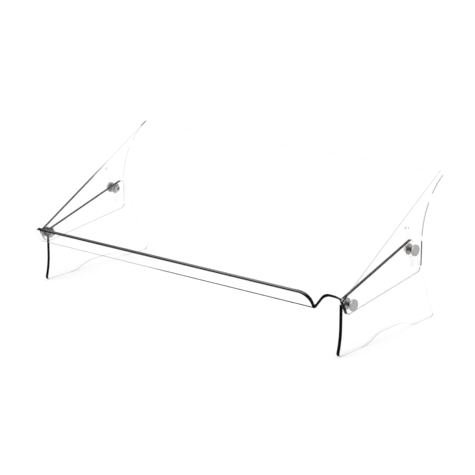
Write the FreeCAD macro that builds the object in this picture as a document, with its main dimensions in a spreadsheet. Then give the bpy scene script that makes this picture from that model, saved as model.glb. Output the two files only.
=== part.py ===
"""Clear acrylic in-line document slope: a bent tray carried by two leg plates.

Frame: X across, +Y to the back, +Z up, origin on the desk under the middle of the part.
The tray is drawn in its own frame, which has its origin on the tilt axis and its Y axis
along the reading slope. A leg is drawn with its origin on the desk under the tilt axis.
Fasteners are drawn with X = 0 on the outer face of the tray's side and +X outwards.
All lengths are in millimetres and all angles in degrees.
"""
import FreeCAD, Part
import math
import os
import Sketcher
from FreeCAD import Placement, Rotation, Vector

doc = FreeCAD.newDocument("document_slope")

SIZES = [
    # the whole part
    ("overall_width", 530.0, "across the outer faces of the tray's sides"),
    ("sheet_thickness", 5.0, "acrylic sheet of the tray"),
    ("leg_thickness", 5.0, "acrylic sheet of the legs"),
    ("tray_slope", 29.3, "reading slope at rest"),
    # tray, measured from the tilt axis in the tray's own frame
    ("plate_height", 16.0, "tilt axis up to the reading face"),
    ("plate_reach", 240.8, "tilt axis back to the rear edge"),
    ("lip_reach", 32.0, "tilt axis forward to the lip's front face"),
    ("lip_rise", 21.5, "lip above the reading face"),
    ("lip_right_end", 233.5, "middle of the tray to the right end of the lip"),
    ("lip_right_radius", 15.0, "round top corner at the right end"),
    ("lip_left_end", 246.0, "middle of the tray to the left end of the lip"),
    ("lip_left_radius", 7.0, "round top corner at the left end"),
    ("overhang", 7.0, "left end of the lip beyond its foot"),
    ("overhang_rise", 1.0, "reading face up to the underside of the overhang"),
    ("overhang_radius", 3.0, "round lower corner of the overhang"),
    ("bend_radius", 2.0, "inner radius of each fold"),
    ("relief_setback", 4.8, "tilt axis forward to the back of a corner relief"),
    ("relief_right_radius", 7.0, "inner corner of the right relief"),
    ("relief_left_radius", 5.0, "inner corner of the left relief"),
    ("relief_shoulder", 13.0, "width of a relief's rounded outer shoulder"),
    ("relief_fall", 2.2, "run of a relief forward over its outer shoulder"),
    ("right_front_margin", 10.4, "tilt axis forward to the front edge of the right side"),
    ("side_margin", 12.5, "sheet left round the tilt axis in a tray side"),
    ("side_taper", 22.1, "fall of the side's lower edge against the reading face"),
    ("side_run", 155.8, "length of a side along its lower edge"),
    ("side_corner_radius", 8.0, "lower rear corner of a side"),
    ("sweep_radius", 90.0, "hollow curve up the back of a side"),
    ("sweep_turn", 65.0, "angle of that curve"),
    ("sweep_setback", 2.8, "plate left behind the top of that curve"),
    # tilt setting
    ("lock_radius", 139.9, "tilt axis to the lock screws"),
    ("setting_step", 4.4, "angle from one setting to the next"),
    ("settings_above", 3.0, "settings above the one in use"),
    ("settings_below", 2.0, "settings below the one in use"),
    ("notch_radius", 3.3, "round notch of a setting"),
    # legs, measured from the tilt axis and the desk
    ("axis_height", 66.5, "desk up to the tilt axis"),
    ("leg_slope", 16.8, "rise of the leg's top edge"),
    ("leg_margin", 8.3, "sheet round the tilt axis in a leg"),
    ("leg_tail", 12.5, "leg behind the lock screw, along the top edge"),
    ("leg_tail_radius", 5.0, "rear top corner"),
    ("toe_reach", 13.0, "tilt axis forward to the toe"),
    ("toe_height", 5.0, "desk up to the start of the toe's flare"),
    ("toe_radius", 4.0, "round of the toe at the desk"),
    ("flare_height", 38.0, "desk up to where the front edge is upright"),
    ("heel_reach", 203.4, "tilt axis back to the heel"),
    ("heel_radius", 6.0, "round of the heel at the desk"),
    ("arch_front", 59.4, "tilt axis back to the middle of the arch's front ramp"),
    ("arch_rear", 136.4, "tilt axis back to the middle of its rear ramp"),
    ("arch_ramp", 26.0, "length of a ramp"),
    ("arch_height", 10.0, "desk up to the top of the arch"),
    ("arch_radius", 65.0, "easing of the ramps"),
    # fasteners
    ("thread_diameter", 4.9, "M5 stud, measured over a slack thread"),
    ("thread_slack", 0.1, "radial slack of the stud in its insert"),
    ("bore_slack", 0.25, "radial slack of the stud in what it passes through"),
    ("face_gap", 0.1, "running gap between faces that turn on each other"),
    ("head_diameter", 15.0, "thumb screw's head"),
    ("head_thickness", 3.5, "thickness of that head"),
    ("head_chamfer", 0.5, "both rims of the head"),
    ("head_wall", 1.0, "metal left over the end of the stud"),
    ("stud_chamfer", 0.6, "end of the stud"),
    ("stud_recess", 0.3, "stud end below the leg's inner face"),
    ("collar_diameter", 10.0, "collar under the head"),
    ("collar_thickness", 2.4, "thickness of the collar"),
    ("spacer_diameter", 15.0, "disc between tray side and leg"),
    ("spacer_thickness", 1.0, "thickness of the disc"),
    ("insert_diameter", 8.0, "threaded insert in a leg"),
]

sheet = doc.addObject("Spreadsheet::Sheet", "Sizes")
for row, (alias, value, meaning) in enumerate(SIZES, start=1):
    sheet.set("A%d" % row, meaning)
    sheet.set("B%d" % row, str(value))
    sheet.setAlias("B%d" % row, alias)
doc.recompute()

ALIASES = sorted((alias for alias, _, _ in SIZES), key=len, reverse=True)


def bound(text):
    """The expression with each size's alias written as a cell of the sheet."""
    words = []
    word = ""
    for letter in text + " ":
        if letter.isalnum() or letter == "_":
            word += letter
        else:
            words.append("Sizes." + word if word in ALIASES else word)
            words.append(letter)
            word = ""
    return "".join(words).strip()


def value_of(text):
    """The number that an expression gives now."""
    result = sheet.evalExpression(bound(text))
    return float(getattr(result, "Value", result))


# Lengths that several pieces share, as expressions on the sheet.
HALF_WIDTH = "overall_width / 2"
PLATE_UNDER = "(plate_height - sheet_thickness)"
BEND_OUTER = "(bend_radius + sheet_thickness)"
LIP_TOP = "(plate_height + lip_rise)"
LIP_BACK = "(lip_reach - sheet_thickness)"
REAR_REACH = "max(plate_reach * cos(tray_slope) - %s * sin(tray_slope); heel_reach)" % PLATE_UNDER
FRONT_REACH = "(lip_reach * cos(tray_slope) + %s * sin(tray_slope))" % LIP_TOP
AXIS_Y = "(%s - %s) / 2" % (FRONT_REACH, REAR_REACH)
LOCK_ANGLE = "(leg_slope - tray_slope)"
LOWEST_SETTING = "(%s - settings_below * setting_step)" % LOCK_ANGLE
HIGHEST_SETTING = "(%s + settings_above * setting_step)" % LOCK_ANGLE
LOCK_Y = "lock_radius * cos(leg_slope)"
LOCK_Z = "(axis_height + lock_radius * sin(leg_slope))"
CLEAR_RADIUS = "(thread_diameter / 2 + bore_slack)"
THREAD_RADIUS = "thread_diameter / 2"
SPACER_FACE = "(sheet_thickness + face_gap)"
LEG_FACE = "(sheet_thickness + face_gap + spacer_thickness)"
LEG_BACK = "(sheet_thickness + face_gap + spacer_thickness + leg_thickness)"
HEAD_FACE = "(face_gap + collar_thickness + face_gap)"


def new_body(name):
    body = doc.addObject("PartDesign::Body", name)
    body.Label = name
    return body


def origin_feature(body, role):
    return next(item for item in body.Origin.OriginFeatures if item.Role == role)


def new_sketch(body, name, role):
    sketch = body.newObject("Sketcher::SketchObject", name)
    sketch.AttachmentSupport = [(origin_feature(body, role), "")]
    sketch.MapMode = "FlatFace"
    return sketch


def bind(sketch, kind, *where):
    """Add one driving dimension and bind it to its expression, the last item of where."""
    text = where[-1]
    index = sketch.addConstraint(Sketcher.Constraint(kind, *where[:-1], value_of(text)))
    sketch.setExpression("Constraints[%d]" % index, bound(text))


def outline(body, name, role, corners):
    """A closed outline. A corner is (x, y), or (x, y, radius, side) where an arc leads to
    the next corner and side says where its centre lies: 1 for the left, -1 for the right."""
    sketch = new_sketch(body, name, role)
    places = [Vector(value_of(corner[0]), value_of(corner[1]), 0) for corner in corners]
    count = len(corners)
    joints = []
    for index, corner in enumerate(corners):
        start, end = places[index], places[(index + 1) % count]
        if len(corner) == 2:
            geometry = sketch.addGeometry(Part.LineSegment(start, end), False)
            joints.append((geometry, 1, 2))
            continue
        radius, side = value_of(corner[2]), corner[3]
        chord = end - start
        rise = math.sqrt(max(radius ** 2 - (chord.Length / 2) ** 2, 0.0))
        left = Vector(-chord.y, chord.x, 0).normalize()
        centre = (start + end) * 0.5 + left * rise * side
        first, last = (start, end) if side > 0 else (end, start)
        angle_1 = math.atan2(first.y - centre.y, first.x - centre.x)
        angle_2 = math.atan2(last.y - centre.y, last.x - centre.x)
        circle = Part.Circle(centre, Vector(0, 0, 1), radius)
        geometry = sketch.addGeometry(Part.ArcOfCircle(circle, angle_1, angle_2), False)
        joints.append((geometry, 1, 2) if side > 0 else (geometry, 2, 1))
    for index, (geometry, start, _) in enumerate(joints):
        before, _, before_end = joints[index - 1]
        sketch.addConstraint(Sketcher.Constraint("Coincident", before, before_end, geometry, start))
    for (geometry, start, _), corner in zip(joints, corners):
        bind(sketch, "DistanceX", -1, 1, geometry, start, corner[0])
        bind(sketch, "DistanceY", -1, 1, geometry, start, corner[1])
        if len(corner) == 4:
            bind(sketch, "Radius", geometry, corner[2])
    return sketch


def circle(body, name, role, x, y, radius):
    sketch = new_sketch(body, name, role)
    centre = Vector(value_of(x), value_of(y), 0)
    sketch.addGeometry(Part.Circle(centre, Vector(0, 0, 1), value_of(radius)), False)
    bind(sketch, "DistanceX", -1, 1, 0, 3, x)
    bind(sketch, "DistanceY", -1, 1, 0, 3, y)
    bind(sketch, "Radius", 0, radius)
    return sketch


def extrude(body, kind, sketch, length, both_ways=True):
    """A Pad or Pocket of the sketch, as long as the expression says."""
    feature = body.newObject("PartDesign::" + kind, sketch.Name + "_" + kind)
    feature.Profile = sketch
    feature.setExpression("Length", bound(length))
    if both_ways:
        feature.SideType = "Symmetric"
    doc.recompute()
    return feature


def cut(body, sketch, length):
    """A Pocket both ways from the sketch, which has to take something away."""
    before = body.Shape.Volume
    feature = extrude(body, "Pocket", sketch, length)
    if body.Shape.Volume >= before:
        raise RuntimeError(feature.Name + " removes nothing")
    return feature


def round_edges(body, name, base, chosen, radius):
    """A Fillet on the edges of base that chosen(edge) picks out."""
    names = ["Edge%d" % number for number, edge in enumerate(base.Shape.Edges, start=1) if chosen(edge)]
    if not names:
        raise RuntimeError(name + " finds no edge")
    fillet = body.newObject("PartDesign::Fillet", name)
    fillet.Base = (base, names)
    fillet.setExpression("Radius", bound(radius))
    doc.recompute()
    return fillet


def through_point(direction, plane_1, plane_2):
    """Picks the straight edges along an axis that pass at two given coordinates."""
    def chosen(edge):
        ends = [vertex.Point for vertex in edge.Vertexes]
        if len(ends) != 2:
            return False
        run = ends[1] - ends[0]
        along = abs(getattr(run, direction))
        near = all(abs(abs(getattr(point, axis)) - abs(place)) < 0.01
                   and getattr(point, axis) * place >= -0.01
                   for point in ends for axis, place in (plane_1, plane_2))
        return near and abs(along - run.Length) < 0.001
    return chosen


def build_tray():
    """One sheet, folded up into the lip and down into the two sides."""
    body = new_body("tray")
    across = "overall_width + 20"

    # Section across the slope: plate, two folds and two sides, deep enough for the sides.
    side_depth = "(side_run * sin(side_taper) + side_margin * 2)"
    wall = "%s - sheet_thickness" % HALF_WIDTH
    crown = "%s - %s" % (HALF_WIDTH, BEND_OUTER)
    fold = "plate_height - %s" % BEND_OUTER
    section = outline(body, "tray_section", "XZ_Plane", [
        ("-(%s)" % crown, "plate_height", BEND_OUTER, 1),
        ("-(%s)" % HALF_WIDTH, fold),
        ("-(%s)" % HALF_WIDTH, "-" + side_depth),
        ("-(%s)" % wall, "-" + side_depth),
        ("-(%s)" % wall, fold, "bend_radius", -1),
        ("-(%s)" % crown, PLATE_UNDER),
        (crown, PLATE_UNDER, "bend_radius", -1),
        (wall, fold),
        (wall, "-" + side_depth),
        (HALF_WIDTH, "-" + side_depth),
        (HALF_WIDTH, fold, BEND_OUTER, 1),
        (crown, "plate_height"),
    ])
    section.setExpression("AttachmentOffset.Base.z", bound("side_margin"))
    folded = extrude(body, "Pad", section, "plate_reach + side_margin", both_ways=False)
    folded.Reversed = True
    doc.recompute()

    # Front of the plate with the fold up into the lip.
    lip = outline(body, "lip_section", "YZ_Plane", [
        ("0", PLATE_UNDER),
        ("0", "plate_height"),
        ("-(%s - bend_radius)" % LIP_BACK, "plate_height", "bend_radius", -1),
        ("-" + LIP_BACK, "plate_height + bend_radius"),
        ("-" + LIP_BACK, LIP_TOP),
        ("-lip_reach", LIP_TOP),
        ("-lip_reach", "%s + %s" % (PLATE_UNDER, BEND_OUTER), BEND_OUTER, 1),
        ("-(lip_reach - %s)" % BEND_OUTER, PLATE_UNDER),
    ])
    extrude(body, "Pad", lip, "2 * lip_left_end")

    # Relief at each front corner, so that the three folds stay apart. The left one
    # stops below the lip, which stands out over it.
    ahead = "-(lip_reach + 10)"
    shoulder = "(%s - relief_shoulder)" % crown
    shoulder_radius = "(relief_shoulder ^ 2 + relief_fall ^ 2) / (2 * relief_fall)"
    for side, name, foot, front, height in (
        (1, "right", "lip_right_end", "right_front_margin", "4 * " + LIP_TOP),
        (-1, "left", "(lip_left_end - overhang)", "side_margin",
         "2 * (plate_height + overhang_rise)"),
    ):
        sign = "" if side > 0 else "-"
        radius = "relief_%s_radius" % name
        relief = outline(body, "relief_" + name, "XY_Plane", [
            (sign + foot, ahead),
            (sign + foot, "-(relief_setback + %s)" % radius, radius, -side),
            (sign + "(%s + %s)" % (foot, radius), "-relief_setback"),
            (sign + shoulder, "-relief_setback", shoulder_radius, -side),
            (sign + "(%s)" % crown, "-(relief_setback + relief_fall)"),
            (sign + "(%s)" % wall, "-" + front),
            (sign + "(%s + 10)" % HALF_WIDTH, "-" + front),
            (sign + "(%s + 10)" % HALF_WIDTH, ahead),
        ])
        cut(body, relief, height)

    # Everything outside the outline of a side goes.
    edge_x, edge_y = "cos(side_taper)", "sin(side_taper)"
    sweep_x = "(plate_reach - sweep_setback)"
    sweep_y = "(%s - sweep_radius)" % PLATE_UNDER
    trim = outline(body, "side_trim", "YZ_Plane", [
        ("-(side_margin + 10)", "0"),
        ("-side_margin", "0", "side_margin", 1),
        ("-side_margin * " + edge_y, "-side_margin * " + edge_x),
        ("side_run * %s - side_margin * %s" % (edge_x, edge_y),
         "-(side_run * %s + side_margin * %s)" % (edge_y, edge_x)),
        ("%s - sweep_radius * sin(sweep_turn)" % sweep_x,
         "%s + sweep_radius * cos(sweep_turn)" % sweep_y, "sweep_radius", -1),
        (sweep_x, PLATE_UNDER),
        ("plate_reach + 10", PLATE_UNDER),
        ("plate_reach + 10", "-(%s + 10)" % side_depth),
        ("-(side_margin + 10)", "-(%s + 10)" % side_depth),
    ])
    last = cut(body, trim, across)

    corner = (("y", value_of("side_run * %s - side_margin * %s" % (edge_x, edge_y))),
              ("z", value_of("-(side_run * %s + side_margin * %s)" % (edge_y, edge_x))))
    last = round_edges(body, "side_corners", last, through_point("x", *corner), "side_corner_radius")
    for name, end, height, radius in (
        ("lip_corner_right", "lip_right_end", LIP_TOP, "lip_right_radius"),
        ("lip_corner_left", "-lip_left_end", LIP_TOP, "lip_left_radius"),
        ("overhang_corner", "-lip_left_end", "plate_height + overhang_rise", "overhang_radius"),
    ):
        corner = (("x", value_of(end)), ("z", value_of(height)))
        last = round_edges(body, name, last, through_point("y", *corner), radius)

    # Tilt bore, and the curved slot with a round notch for each setting.
    cut(body, circle(body, "tilt_bore", "YZ_Plane", "0", "0", CLEAR_RADIUS), across)
    inner, outer = "(lock_radius - %s)" % CLEAR_RADIUS, "(lock_radius + %s)" % CLEAR_RADIUS
    slot = outline(body, "lock_slot", "YZ_Plane", [
        ("%s * cos%s" % (inner, LOWEST_SETTING), "%s * sin%s" % (inner, LOWEST_SETTING)),
        ("%s * cos%s" % (outer, LOWEST_SETTING), "%s * sin%s" % (outer, LOWEST_SETTING), outer, 1),
        ("%s * cos%s" % (outer, HIGHEST_SETTING), "%s * sin%s" % (outer, HIGHEST_SETTING)),
        ("%s * cos%s" % (inner, HIGHEST_SETTING), "%s * sin%s" % (inner, HIGHEST_SETTING), inner, -1),
    ])
    cut(body, slot, across)
    notch = cut(body, circle(body, "setting_notch", "YZ_Plane", "lock_radius * cos" + LOWEST_SETTING,
                             "lock_radius * sin" + LOWEST_SETTING, "notch_radius"), across)
    settings = body.newObject("PartDesign::PolarPattern", "settings")
    settings.Originals = [notch]
    settings.Axis = (origin_feature(body, "X_Axis"), [""])
    settings.setExpression("Angle", bound("(settings_above + settings_below) * setting_step"))
    settings.setExpression("Occurrences", bound("settings_above + settings_below + 1"))
    body.Tip = settings
    doc.recompute()

    body.setExpression("Placement.Base.y", bound(AXIS_Y))
    body.setExpression("Placement.Base.z", bound("axis_height"))
    body.Placement.Rotation = Rotation(Vector(1, 0, 0), value_of("tray_slope"))
    body.setExpression("Placement.Rotation.Angle", bound("tray_slope"))
    return body


def build_leg(name, side):
    """A flat plate with two feet, an arch between them and a bore for each insert."""
    body = new_body(name)
    along, up = "cos(leg_slope)", "sin(leg_slope)"
    tail = "(lock_radius + leg_tail)"
    spread = "(toe_reach - leg_margin)"
    fall = "(flare_height - toe_height)"
    flare_radius = "(%s ^ 2 + %s ^ 2) / (2 * %s)" % (fall, spread, spread)
    shape = outline(body, name + "_outline", "YZ_Plane", [
        ("-toe_reach", "0"),
        ("arch_front - arch_ramp / 2", "0"),
        ("arch_front + arch_ramp / 2", "arch_height"),
        ("arch_rear - arch_ramp / 2", "arch_height"),
        ("arch_rear + arch_ramp / 2", "0"),
        ("heel_reach", "0"),
        ("%s * %s - leg_margin * %s" % (tail, along, up),
         "axis_height + %s * %s + leg_margin * %s" % (tail, up, along)),
        ("-leg_margin * " + up, "axis_height + leg_margin * " + along, "leg_margin", 1),
        ("-leg_margin", "axis_height"),
        ("-leg_margin", "flare_height", flare_radius, -1),
        ("-toe_reach", "toe_height"),
    ])
    plate = extrude(body, "Pad", shape, "leg_thickness")
    rounds = [
        ("toe", "-toe_reach", "0", "toe_radius"),
        ("heel", "heel_reach", "0", "heel_radius"),
        ("tail", "%s * %s - leg_margin * %s" % (tail, along, up),
         "axis_height + %s * %s + leg_margin * %s" % (tail, up, along), "leg_tail_radius"),
        ("arch_1", "arch_front - arch_ramp / 2", "0", "arch_radius"),
        ("arch_2", "arch_front + arch_ramp / 2", "arch_height", "arch_radius"),
        ("arch_3", "arch_rear - arch_ramp / 2", "arch_height", "arch_radius"),
        ("arch_4", "arch_rear + arch_ramp / 2", "0", "arch_radius"),
    ]
    last = plate
    for part, y, z, radius in rounds:
        place = (("y", value_of(y)), ("z", value_of(z)))
        last = round_edges(body, "%s_%s" % (name, part), last, through_point("x", *place), radius)
    through = "leg_thickness + 20"
    insert_radius = "insert_diameter / 2"
    cut(body, circle(body, name + "_tilt_bore", "YZ_Plane", "0", "axis_height", insert_radius), through)
    cut(body, circle(body, name + "_lock_bore", "YZ_Plane", LOCK_Y, LOCK_Z, insert_radius), through)
    middle = "(%s - %s - leg_thickness / 2)" % (HALF_WIDTH, LEG_FACE)
    body.setExpression("Placement.Base.x", bound("%d * %s" % (side, middle)))
    body.setExpression("Placement.Base.y", bound(AXIS_Y))
    return body


def turned(name, corners, side, rear):
    """A round piece turned about the screw's axis. Each corner is (place outwards, radius)."""
    body = new_body(name)
    profile = outline(body, name + "_profile", "XY_Plane", corners)
    turning = body.newObject("PartDesign::Revolution", name + "_turning")
    turning.Profile = profile
    turning.ReferenceAxis = (origin_feature(body, "X_Axis"), [""])
    turning.Angle = 360
    if side < 0:
        body.Placement.Rotation = Rotation(Vector(0, 0, 1), 180)
    body.setExpression("Placement.Base.x", bound("%d * (%s)" % (side, HALF_WIDTH)))
    body.setExpression("Placement.Base.y", bound(AXIS_Y + (" + " + LOCK_Y if rear else "")))
    body.setExpression("Placement.Base.z", bound(LOCK_Z if rear else "axis_height"))
    return body


def ring(name, inner_face, outer_face, bore_radius, outer_radius, side, rear):
    corners = [(inner_face, bore_radius), (outer_face, bore_radius),
               (outer_face, outer_radius), (inner_face, outer_radius)]
    return turned(name, corners, side, rear)


def build_fasteners(place, side, rear):
    """Head, stud and collar of one thumb screw, with the disc and insert that it works in."""
    head_top = "(%s + head_thickness)" % HEAD_FACE
    stud_end = "-(%s - stud_recess)" % LEG_BACK
    stud_top = "(%s - head_wall)" % head_top
    rim = "head_diameter / 2"
    return [
        turned("screw_head_" + place, [
            (HEAD_FACE, THREAD_RADIUS),
            (stud_top, THREAD_RADIUS),
            (stud_top, "0"),
            (head_top, "0"),
            (head_top, rim + " - head_chamfer"),
            (head_top + " - head_chamfer", rim),
            (HEAD_FACE + " + head_chamfer", rim),
            (HEAD_FACE, rim + " - head_chamfer"),
        ], side, rear),
        turned("screw_stud_" + place, [
            (stud_end, "0"),
            (stud_top, "0"),
            (stud_top, THREAD_RADIUS),
            (stud_end + " + stud_chamfer", THREAD_RADIUS),
            (stud_end, THREAD_RADIUS + " - stud_chamfer"),
        ], side, rear),
        ring("screw_collar_" + place, "face_gap", "face_gap + collar_thickness",
             CLEAR_RADIUS, "collar_diameter / 2", side, rear),
        ring("spacer_disc_" + place, "-" + LEG_FACE, "-" + SPACER_FACE,
             CLEAR_RADIUS, "spacer_diameter / 2", side, rear),
        ring("threaded_insert_" + place, "-" + LEG_BACK, "-" + LEG_FACE,
             THREAD_RADIUS + " + thread_slack", "insert_diameter / 2", side, rear),
    ]


parts = [build_tray(), build_leg("leg_left", -1), build_leg("leg_right", 1)]
for side, side_name in ((-1, "left"), (1, "right")):
    for rear, end_name in ((False, "front"), (True, "rear")):
        parts += build_fasteners("%s_%s" % (end_name, side_name), side, rear)
doc.recompute()

for item in doc.Objects:
    if "Invalid" in item.State or "Error" in item.State:
        raise RuntimeError("%s is %s" % (item.Name, item.State))
for part in parts:
    if part.Shape.isNull() or not part.Shape.isValid() or len(part.Shape.Solids) != 1:
        raise RuntimeError(part.Label + " is not one valid solid")

os.makedirs("parts", exist_ok=True)
for part in parts:
    part.Shape.exportStep("parts/%s.step" % part.Label)
    print("%-28s %8.2f cm3" % (part.Label, part.Shape.Volume / 1000))
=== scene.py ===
"""Clear acrylic document holder: a tilting bent tray on two legs, held by four screws."""

import math

import bmesh
import bpy
from mathutils import Matrix, Vector
from mathutils.bvhtree import BVHTree


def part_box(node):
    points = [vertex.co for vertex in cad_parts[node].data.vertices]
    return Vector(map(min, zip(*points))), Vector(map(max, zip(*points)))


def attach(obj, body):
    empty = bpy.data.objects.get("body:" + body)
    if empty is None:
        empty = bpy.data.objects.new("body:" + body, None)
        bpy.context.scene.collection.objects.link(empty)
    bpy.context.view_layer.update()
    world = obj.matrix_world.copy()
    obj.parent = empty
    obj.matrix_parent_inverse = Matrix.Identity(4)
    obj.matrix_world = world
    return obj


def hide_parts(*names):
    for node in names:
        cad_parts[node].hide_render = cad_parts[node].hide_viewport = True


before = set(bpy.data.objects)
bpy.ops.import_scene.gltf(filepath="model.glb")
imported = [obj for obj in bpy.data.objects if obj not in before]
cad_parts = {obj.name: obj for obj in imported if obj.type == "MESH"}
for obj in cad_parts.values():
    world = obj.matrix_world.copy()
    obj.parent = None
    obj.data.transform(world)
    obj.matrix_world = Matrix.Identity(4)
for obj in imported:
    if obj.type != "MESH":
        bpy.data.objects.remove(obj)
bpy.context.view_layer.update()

MM = 0.001
SHEET = 5 * MM
HALF_WIDTH = 265 * MM
TRAY_SLOPE = math.radians(29.3)
TILT_AXIS = Vector((0, -79.1765, 66.5)) * MM
CENTRE = Vector((0, 0, 0))
ACROSS = Vector((1, 0, 0))
UP_SLOPE = Vector((0, math.cos(TRAY_SLOPE), math.sin(TRAY_SLOPE)))
OFF_SLOPE = Vector((0, -math.sin(TRAY_SLOPE), math.cos(TRAY_SLOPE)))
PLACES = ("front_left", "rear_left", "front_right", "rear_right")

# The acrylic's materials, in the order of their slots.
FACE, EDGE, LIP, FOLD = range(4)

# How far from the middle plane an edge's thin line of painted dark reflection runs. ALL_OVER
# means no such line.
ALL_OVER = 0.0
TRAY_ARRIS = 264.1 * MM
TRAY_SEAM = 263.0 * MM
LEG_ARRIS = 258.1 * MM

# Places on the tray, in millimetres from the tilt axis: up its slope, ...
LIP_EDGE_UP = -27
LIP_CORNER_UP = -26
LIP_BEND_UP = -20
FRONT_UP = -4
REAR_UP = 143
PLATE_END_UP = 238

# ... off it, ...
SIDE_FOOT_OFF = -11
LIP_EDGE_OFF = 18

# ... and across it.
LIP_EDGE_LEFT = -239
LIP_CORNER_LEFT = -238


# ---------------------------------------------------------------- finishes


class Value:
    """A shader socket that takes part in arithmetic by adding Math nodes."""

    def __init__(self, finish, socket):
        self.finish = finish
        self.socket = socket

    def maths(self, operation, *values):
        return self.finish.node("ShaderNodeMath", {"operation": operation}, *values)

    def __add__(self, other):
        return self.maths("ADD", self, other)

    def __sub__(self, other):
        return self.maths("SUBTRACT", self, other)

    def __rsub__(self, other):
        return self.maths("SUBTRACT", other, self)

    def __mul__(self, other):
        return self.maths("MULTIPLY", self, other)

    __radd__ = __add__
    __rmul__ = __mul__

    def ramp(self, low, high):
        """0 where the value is low, 1 where it is high, smooth between."""
        settings = {"interpolation_type": "SMOOTHSTEP"}
        return self.finish.node("ShaderNodeMapRange", settings, self, low, high)

    def size(self):
        """The value without its sign."""
        return self.maths("ABSOLUTE", self)


class Finish:
    """The nodes of a material, or of the world."""

    def __init__(self, owner):
        self.owner = owner
        owner.use_nodes = True
        self.tree = owner.node_tree
        self.tree.nodes.clear()

    def node(self, kind, settings, *values, output=0, **named):
        """Adds a node with its settings, and the values or links of its sockets."""
        node = self.tree.nodes.new(kind)
        for key, setting in settings.items():
            setattr(node, key, setting)
        for key, value in [*enumerate(values), *named.items()]:
            socket = node.inputs[key if isinstance(key, int) else key.replace("_", " ")]
            if isinstance(value, Value):
                self.tree.links.new(value.socket, socket)
            elif value is not None:
                socket.default_value = value
        return Value(self, node.outputs[output]) if node.outputs else None

    def place(self, stretch=(1, 1, 1)):
        """The point on the piece, in metres, stretched along each axis."""
        point = self.node("ShaderNodeTexCoord", {}, output="Object")
        return self.node("ShaderNodeMapping", {}, point, (0, 0, 0), (0, 0, 0), stretch)

    def attribute(self, name):
        return self.node("ShaderNodeAttribute", {"attribute_name": name}, output="Fac")

    def along(self, direction, start):
        """The distance along a direction of the piece from a starting point."""
        settings = {"operation": "SUBTRACT"}
        offset = self.node("ShaderNodeVectorMath", settings, self.place(), start)
        settings = {"operation": "DOT_PRODUCT"}
        return self.node("ShaderNodeVectorMath", settings, offset, direction, output="Value")

    def noise(self, point, scale, detail):
        return self.node("ShaderNodeTexNoise", {}, Vector=point, Scale=scale, Detail=detail)

    def mix(self, share, first, second):
        """One colour going over to another as share goes from 0 to 1.

        The node has five sockets for other kinds of data before its two colours.
        """
        unused = [None] * 5
        settings = {"data_type": "RGBA"}
        return self.node("ShaderNodeMix", settings, share, *unused, first, second, output=2)

    def bump(self, height, strength, distance):
        return self.node(
            "ShaderNodeBump", {}, Height=height, Strength=strength, Distance=distance
        )

    def surface(self, **sockets):
        """Ends the material in one shader with these sockets."""
        shader = self.node("ShaderNodeBsdfPrincipled", {}, **sockets)
        self.node("ShaderNodeOutputMaterial", {}, Surface=shader)
        return self.owner


def material_finish(name):
    """The nodes of a new material."""
    return Finish(bpy.data.materials.new(name))


def grey(level):
    return (level, level, level, 1)


def clear_sheet():
    """The polished faces of the sheet, all but invisible."""
    finish = material_finish("clear_sheet")
    haze = finish.noise(finish.place(), 18, 3)
    wear = finish.noise(finish.place(), 900, 2)
    sheen = finish.node("ShaderNodeLayerWeight", {}, Blend=0.5, output="Facing")
    return finish.surface(
        Base_Color=finish.mix(haze, (0.92, 0.95, 0.95, 1), (0.98, 0.99, 0.99, 1)),
        Roughness=0.03 + wear * 0.05,
        IOR=1.49,
        Alpha=0.006 + haze * 0.012 + sheen * 0.05,
    )


def cut_edge():
    """Laser-cut edges, painted with the dark reflections a clear edge shows: each dark all
    over, or along one line, as its faces say.
    """
    finish = material_finish("cut_edge")
    painted_shade, line = finish.attribute("painted_shade"), finish.attribute("line")
    patchy_reflection = finish.noise(finish.place(), 260, 3)
    polish = finish.noise(finish.place(), 1500, 2)
    away = (finish.along(ACROSS, CENTRE).size() - line).size()
    on_line, all_over = 1 - away.ramp(0.6 * MM, 1.2 * MM), 1 - line.ramp(0.1, 0.2)
    reach = line.maths("MAXIMUM", on_line, all_over)
    # How much painted dark reflection covers the edge, patchy along it.
    cover = (painted_shade.ramp(0.0, 0.9) + painted_shade * (1 - painted_shade) * (patchy_reflection - 0.5)) * reach
    return finish.surface(
        Base_Color=finish.mix(cover.ramp(0.0, 0.8), grey(0.42), grey(0.001)),
        Roughness=0.12 + polish * 0.14,
        IOR=1.49,
        Specular_IOR_Level=0.04,
        Alpha=cover * 0.93 + 0.07,
        Normal=finish.bump(polish, 0.12, 0.0003),
    )


def lip_edge():
    """The lip's upper edge, in painted dark reflection: a black front rim and a grey core,
    black all over at its ends.

    Near the right end its rear rim is black too.
    """
    finish = material_finish("lip_edge")
    front_rim = TILT_AXIS - UP_SLOPE * 29.5 * MM
    depth, across = finish.along(UP_SLOPE, front_rim), finish.along(ACROSS, CENTRE)
    rear_rim = depth.ramp(1.1 * MM, 1.8 * MM) * across.ramp(207 * MM, 215 * MM)
    right_end, left_end = across.ramp(223 * MM, 230 * MM), 1 - across.ramp(-238 * MM, -220 * MM)
    core = depth.ramp(-0.8 * MM, 0.5 * MM) * (1 - rear_rim) * (1 - right_end - left_end)
    patchy_reflection = finish.noise(finish.place((1, 6, 6)), 90, 3)
    polish = finish.noise(finish.place(), 1500, 2)
    # The painted grey core, paler to the right and in patches.
    paleness = core * (0.3 + across.ramp(-100 * MM, 120 * MM) * 0.5 + patchy_reflection * 0.4)
    return finish.surface(
        Base_Color=finish.mix(paleness, grey(0.004), grey(0.25)),
        Roughness=0.12 + polish * 0.14,
        IOR=1.49,
        Specular_IOR_Level=0.04,
        Alpha=1.0,
    )


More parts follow.
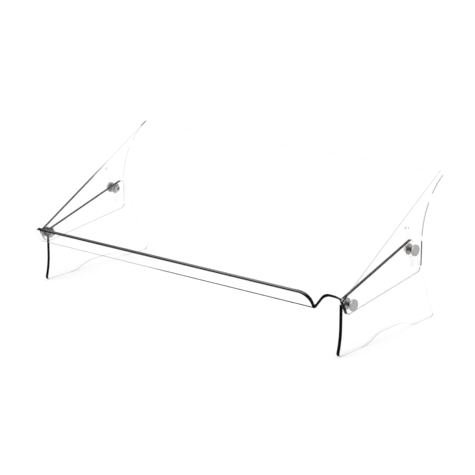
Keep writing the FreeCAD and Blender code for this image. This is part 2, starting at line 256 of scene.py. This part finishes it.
def folded_bend():
    """The heated bends, each clear but for a thin line of painted dark reflection that fades
    along it.
    """
    finish = material_finish("folded_bend")
    painted_shade = finish.attribute("painted_shade")
    climb = finish.along(UP_SLOPE, TILT_AXIS)
    across = finish.along(ACROSS, CENTRE)
    left, right = 1 - across.ramp(-250 * MM, -240 * MM), across.ramp(240 * MM, 250 * MM)
    ripple = finish.noise(finish.place(), 70, 3)

    # The left bend has painted dark reflection to half way up, and again at its very top.
    left_line = 0.92 - climb.ramp(90 * MM, 160 * MM) * 0.78 + climb.ramp(230 * MM, 235 * MM)

    # The right one has a painted dark line that drifts inwards as it climbs, and a painted dark
    # front end.
    drift = 0.0145
    stray = across - (263.2 * MM - climb * drift)
    stroke = 1 - stray.size().ramp(0.5 * MM, 1 * MM)
    front_end = (1 - climb.ramp(-7.5 * MM, -6 * MM)) * (1 - across.ramp(261 * MM, 263 * MM))
    right_line = stroke * (1 - climb.ramp(-1 * MM, 8 * MM) * 0.65) + front_end

    # The lip's bend gets a painted dark line, fainter on the left.
    lip_line = 0.55 + across.ramp(-50 * MM, 0.0) * 0.45
    cover = painted_shade.ramp(0.1, 0.9) * (
        left * left_line + right * right_line + (1 - left - right) * lip_line
    )
    return finish.surface(
        Base_Color=finish.mix(cover, grey(0.5), grey(0.006)),
        Roughness=0.05 + ripple * 0.08,
        IOR=1.49,
        Specular_IOR_Level=0.08,
        Alpha=0.02 + cover * (0.8 + ripple * 0.35),
    )


def turned_metal(name, base, roughness, grooves):
    """Metal turned on a lathe: fine rings around the axis of each piece."""
    finish = material_finish(name)
    radius, depth = finish.attribute("radius"), finish.attribute("depth")
    section = finish.node("ShaderNodeCombineXYZ", {}, radius * grooves, depth * grooves, 0.0)
    rings = finish.noise(section, 1, 3)
    patches = finish.noise(finish.place(), 250, 3)
    worn = tuple(0.82 * part for part in base[:3]) + (1,)
    return finish.surface(
        Base_Color=finish.mix(rings * 0.7 + patches * 0.3, worn, base),
        Metallic=1.0,
        Roughness=roughness + rings * 0.18 + patches * 0.06,
        Normal=finish.bump(rings, 0.35, 0.00008),
    )


def moulded_nylon():
    """Black nylon with a fine moulded grain."""
    finish = material_finish("moulded_nylon")
    pores = finish.noise(finish.place(), 2600, 3)
    cloud = finish.noise(finish.place(), 180, 2)
    return finish.surface(
        Base_Color=finish.mix(cloud, grey(0.012), grey(0.035)),
        Roughness=0.42 + pores * 0.2,
        IOR=1.53,
        Normal=finish.bump(pores, 0.4, 0.00006),
    )


# ------------------------------------------------------------------ acrylic


def finished(mesh, name, materials):
    """Makes the bmesh a piece at the origin, smooth but for its sharp edges."""
    data = bpy.data.meshes.new(name)
    mesh.to_mesh(data)
    mesh.free()
    for material in materials:
        data.materials.append(material)
    data.polygons.foreach_set("use_smooth", [True] * len(data.polygons))
    data.set_sharp_from_angle(angle=math.radians(35))
    piece = bpy.data.objects.new(name, data)
    bpy.context.scene.collection.objects.link(piece)
    return piece


def on_slope(point):
    """Where a point is across the tray, up its slope and off it, in millimetres."""
    offset = point - TILT_AXIS
    return offset.x / MM, offset @ UP_SLOPE / MM, offset @ OFF_SLOPE / MM


def tray_painted_shade(face):
    """How much painted dark reflection a cut edge or a bend of the tray gets, and along which
    line.

    The rear edges get it in three stretches, told apart by their height.
    """
    middle = face.calc_center_median()
    across, up, off = on_slope(middle)
    height = middle.z / MM
    facing = face.normal @ OFF_SLOPE
    if face.material_index == FOLD:
        if up < LIP_BEND_UP:
            return (1.0 if -0.4 < facing < -0.02 else 0.04), ALL_OVER
        return (1.0 if facing > 0 else 0.0), ALL_OVER
    if up > PLATE_END_UP:
        return 0.08, ALL_OVER
    if up < FRONT_UP and off > SIDE_FOOT_OFF:
        if across > 0:
            return 1.0, ALL_OVER
        if across < LIP_CORNER_LEFT and up < LIP_CORNER_UP:
            front_rim = face.tag and face.normal @ UP_SLOPE < -0.2
            return (0.9 if front_rim else 0.1), ALL_OVER
        return 0.5, ALL_OVER
    if up > REAR_UP:
        if 92 < height < 113:
            return (1.0 if across > 0 else 0.3), TRAY_ARRIS
        if 122 < height < 160 or 172 < height < 192:
            return (0.5 if across > 0 else 0.3), TRAY_ARRIS
    under_side = up < REAR_UP - 1 and facing < -0.7
    return (0.45, TRAY_SEAM) if under_side else (0.06, ALL_OVER)


def leg_painted_shade(face):
    """The same painted dark reflection for a leg: black low in front, dark above, a thin line
    below.
    """
    ahead, upwards = -face.normal.y, face.normal.z
    if ahead > 0.55:
        below_screw = face.calc_center_median().z < 61 * MM
        return (1.0 if below_screw else 0.3), ALL_OVER
    if upwards > 0.8 or (upwards > 0.4 and ahead > 0):
        return 0.82, ALL_OVER
    return (0.4, LEG_ARRIS) if upwards < -0.4 else (0.05, ALL_OVER)


def on_lip_edge(face):
    """Whether a cut edge of the tray is the lip's upper one."""
    across, up, off = on_slope(face.calc_center_median())
    outermost = up < LIP_EDGE_UP and off > LIP_EDGE_OFF and across > LIP_EDGE_LEFT
    return outermost and face.normal @ OFF_SLOPE > -0.2


def nowhere(face):
    """For a sheet that has no lip."""
    return False


def sheet_material(face, solid, lip):
    """Tells the sheet's own faces and its bends from its cut edges and the lip's edge.

    A face or a bend has the sheet's other side one thickness behind it, tried towards
    each corner, and is square to the tray's width or to its slope. A bend looks along
    none of the tray's own directions.
    """
    middle = face.calc_center_median()
    inset, slack = 0.01 * MM, 0.06 * MM
    backed = 0
    for vert in face.verts:
        start = middle.lerp(vert.co, 0.37) - face.normal * inset
        depth = solid.ray_cast(start, -face.normal)[3]
        backed += depth is not None and abs(depth + inset - SHEET) < slack
    parts = [abs(face.normal @ axis) for axis in (ACROSS, UP_SLOPE, OFF_SLOPE)]
    if backed < 2 or min(parts[:2]) > 0.02:
        return LIP if lip(face) else EDGE
    return FACE if max(parts) > 0.999 else FOLD


def acrylic_piece(name, node, body, materials, painted_shade_of, lip):
    """A sheet with its triangles joined, its cut edges told apart and eased.

    A face is tagged where it is one of the eased rims of a cut edge.
    """
    mesh = bmesh.new()
    mesh.from_mesh(bpy.data.objects[node].data)
    bmesh.ops.remove_doubles(mesh, verts=mesh.verts, dist=1e-6)
    solid = BVHTree.FromBMesh(mesh)
    for face in mesh.faces:
        face.material_index = sheet_material(face, solid, lip)
    bmesh.ops.dissolve_limit(
        mesh, angle_limit=math.radians(0.3), verts=mesh.verts, edges=mesh.edges,
        delimit={"MATERIAL"},
    )
    sharp = [edge for edge in mesh.edges
             if edge.is_manifold and edge.calc_face_angle() > math.radians(40)]
    # Each face's painted dark reflection, and the line it runs along.
    painted_shade = mesh.faces.layers.float.new("painted_shade")
    line = mesh.faces.layers.float.new("line")
    rims = bmesh.ops.bevel(
        mesh, geom=sharp, offset=0.4 * MM, segments=2, affect="EDGES", profile=0.5,
        material=-1, clamp_overlap=True,
    )["faces"]
    for face in mesh.faces:
        face.tag = False
    for face in rims:
        face.tag = True
        if face.material_index == FACE:
            face.material_index = EDGE
    for face in mesh.faces:
        face[painted_shade], face[line] = painted_shade_of(face)
    piece = finished(mesh, name, materials)
    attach(piece, body)
    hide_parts(node)
    return piece


# ----------------------------------------------------------------- hardware


def turned(profile, steps=64):
    """Spins an outline of (out along X, radius) points into a closed round piece."""
    mesh = bmesh.new()
    points = [mesh.verts.new((x * MM, 0, radius * MM)) for x, radius in profile]
    edges = [mesh.edges.new(pair) for pair in zip(points, points[1:] + points[:1])]
    bmesh.ops.spin(
        mesh, geom=points + edges, cent=(0, 0, 0), axis=(1, 0, 0), angle=2 * math.pi,
        steps=steps, use_merge=True,
    )
    bmesh.ops.remove_doubles(mesh, verts=mesh.verts, dist=1e-7)
    bmesh.ops.recalc_face_normals(mesh, faces=mesh.faces)
    return mesh


def set_in_place(mesh, name, place, material, body, node):
    """Moves a piece drawn on the X axis to its screw, pointing outwards.

    Its points first keep their radius and their depth along the axis, which the rings
    of turned metal follow.
    """
    radius = mesh.verts.layers.float.new("radius")
    depth = mesh.verts.layers.float.new("depth")
    for vert in mesh.verts:
        vert[radius] = math.hypot(vert.co.y, vert.co.z)
        vert[depth] = vert.co.x
    low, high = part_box(node)
    middle = (Vector(low) + Vector(high)) / 2
    side = 1 if "right" in place else -1
    turn = Matrix.Rotation(0 if side > 0 else math.pi, 4, "Z")
    shift = Matrix.Translation((side * HALF_WIDTH, middle.y, middle.z))
    bmesh.ops.transform(mesh, matrix=shift @ turn, verts=mesh.verts)
    piece = finished(mesh, name, [material])
    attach(piece, body)
    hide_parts(node)
    return piece


def cap_outline():
    """The head: flat, 15 mm across, with its rim chamfered."""
    return [(2.6, 0), (2.6, 7.2), (2.9, 7.5), (5.55, 7.5), (6.1, 6.95), (6.1, 0)]


def washer(start, end, inner, outer):
    """A ring from start to end along the screw, its outer corners eased."""
    ease = 0.15
    return [
        (start, inner), (start, outer - ease), (start + ease, outer),
        (end - ease, outer), (end, outer - ease), (end, inner),
    ]


def threaded_stud(start, end):
    """A core with an eased end and one ridge winding around it, a little short of the core."""
    outer, core, pitch = 2.45, 2.02, 0.8
    ease, sunk, short = 0.3, 0.05, 0.93
    shank = [(start, 0), (start, core - ease), (start + ease, core), (end, core), (end, 0)]
    mesh = turned(shank, 48)
    turns = int((end - start - 2 * ease) / pitch)
    ridge = [
        (0, core - sunk), (pitch * 0.42, outer), (pitch * 0.58, outer), (pitch, core - sunk),
    ]
    points = [mesh.verts.new(((start + ease + x) * MM, 0, radius * MM)) for x, radius in ridge]
    edges = [mesh.edges.new(pair) for pair in zip(points, points[1:] + points[:1])]
    first = mesh.faces.new(points)
    steps = 32 * turns
    last = bmesh.ops.spin(
        mesh, geom=points + edges, cent=(0, 0, 0), axis=(1, 0, 0),
        dvec=(pitch * turns / steps * MM * short, 0, 0), angle=2 * math.pi * turns, steps=steps,
    )["geom_last"]
    mesh.faces.new([part for part in last if isinstance(part, bmesh.types.BMVert)])
    bmesh.ops.recalc_face_normals(mesh, faces=mesh.faces)
    return mesh


# -------------------------------------------------------------------- scene


def build_acrylic():
    """The bent tray and the two flat legs, in the same four materials."""
    materials = [clear_sheet(), cut_edge(), lip_edge(), folded_bend()]
    acrylic_piece("bent_tray", "tray", "tray", materials, tray_painted_shade, on_lip_edge)
    for side in ("left", "right"):
        acrylic_piece(f"side_leg_{side}", f"leg_{side}", "base", materials, leg_painted_shade, nowhere)


def build_screws():
    """The four screws; lengths run outwards from the tray's side, in millimetres."""
    aluminium = turned_metal("turned_aluminium", (0.47, 0.455, 0.445, 1), 0.30, 9000)
    zinc = turned_metal("dark_zinc", (0.16, 0.16, 0.165, 1), 0.3, 6000)
    steel = turned_metal("ground_steel", (0.42, 0.405, 0.39, 1), 0.28, 9000)
    brass = turned_metal("plated_brass", (0.62, 0.605, 0.58, 1), 0.25, 7000)
    nylon = moulded_nylon()
    for place in PLACES:
        screw, collar = f"screw_{place}", f"collar_{place}"
        set_in_place(turned(cap_outline(), 96), f"cap_{place}", place, aluminium,
                     screw, f"screw_head_{place}")
        set_in_place(threaded_stud(-10.8, 5.1), f"stud_{place}", place, zinc,
                     screw, f"screw_stud_{place}")
        set_in_place(turned(washer(0.1, 2.5, 2.6, 5.0), 96), f"washer_{place}", place, nylon,
                     collar, f"screw_collar_{place}")
        set_in_place(turned(washer(-6.1, -5.1, 2.7, 7.5), 96), f"disc_{place}", place, steel,
                     "base", f"spacer_disc_{place}")
        set_in_place(turned(washer(-11.1, -6.1, 2.6, 4.0), 96), f"insert_{place}", place, brass,
                     "base", f"threaded_insert_{place}")


def seen(finish):
    """1 for a ray that shows the surroundings, 0 for one that lights the holder by them."""
    rays = [finish.node("ShaderNodeLightPath", {}, output=ray)
            for ray in ("Is Camera Ray", "Is Glossy Ray", "Is Transmission Ray")]
    return (rays[0] + rays[1] + rays[2]).ramp(0, 1)


def build_floor():
    """A plain white floor that keeps the holder's shadow."""
    mesh = bmesh.new()
    bmesh.ops.create_circle(mesh, cap_ends=True, radius=9, segments=96)
    finish = material_finish("white_floor")
    finish.surface(
        Base_Color=grey(0.82),
        Roughness=0.9,
        Emission_Color=finish.mix(seen(finish), grey(0), grey(0.24)),
        Emission_Strength=1.0,
    )
    finished(mesh, "floor", [finish.owner])


def light_the_scene():
    """A white room, dimmer as a light than as it is seen, and one soft lamp overhead."""
    world = bpy.data.worlds.new("studio")
    bpy.context.scene.world = world
    studio = Finish(world)
    room = studio.node("ShaderNodeBackground", {}, grey(1), 0.75)
    backdrop = studio.node("ShaderNodeBackground", {}, grey(1), 1.0)
    chosen = studio.node("ShaderNodeMixShader", {}, seen(studio), room, backdrop)
    studio.node("ShaderNodeOutputWorld", {}, Surface=chosen)
    sky = bpy.data.lights.new("soft_sky", "SUN")
    sky.energy, sky.angle = 0.9, math.radians(60)
    lamp = bpy.data.objects.new("soft_sky", sky)
    lamp.rotation_euler = (math.radians(32), math.radians(-18), 0)
    bpy.context.scene.collection.objects.link(lamp)


def set_camera():
    """A long lens from the front right, a little above the holder."""
    lens = bpy.data.cameras.new("camera")
    lens.sensor_width, lens.lens = 36, 119.34
    camera = bpy.data.objects.new("camera", lens)
    camera.location = (1.32376, -1.58051, 0.65505)
    camera.rotation_euler = [math.radians(turn) for turn in (74.624, -0.0753, 39.5336)]
    bpy.context.scene.collection.objects.link(camera)
    bpy.context.scene.camera = camera


set_camera()
build_acrylic()
build_screws()
build_floor()
light_the_scene()
bpy.context.scene.view_settings.view_transform = "Standard"
bpy.context.scene.cycles.transparent_max_bounces = 32
